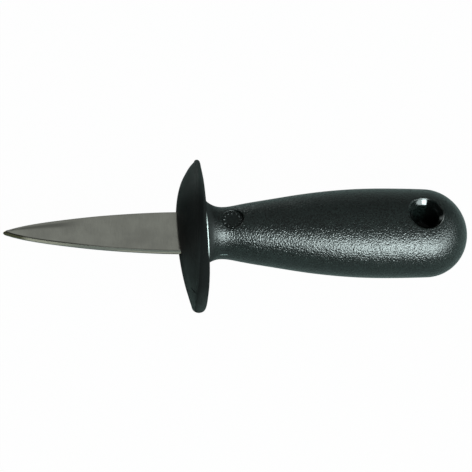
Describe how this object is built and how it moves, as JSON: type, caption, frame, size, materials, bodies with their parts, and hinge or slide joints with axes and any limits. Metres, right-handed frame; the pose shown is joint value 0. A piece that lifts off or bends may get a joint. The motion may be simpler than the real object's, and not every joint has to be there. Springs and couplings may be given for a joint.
{
  "type": "oyster knife",
  "caption": "Short lancet-bladed oyster knife with a broad oval hand guard and a plump oval handle pierced by a flared hanging hole near its butt.",
  "frame": {"origin": "centre of the hanging hole, on the knife's axis", "axes": "+X along the knife towards the butt, with the blade's tip on -X; +Z along the hanging hole, square to the flat of the blade; +Y across the blade's width"},
  "size_m": [0.162, 0.059, 0.0342],
  "materials": {
    "blade_steel": "satin ground stainless steel",
    "guard_plastic": "smooth black moulded plastic",
    "handle_plastic": "fine-grained charcoal moulded plastic"
  },
  "bodies": {
    "root": {"blade": "blade_steel", "guard": "guard_plastic", "handle": "handle_plastic"}
  },
  "joints": []
}
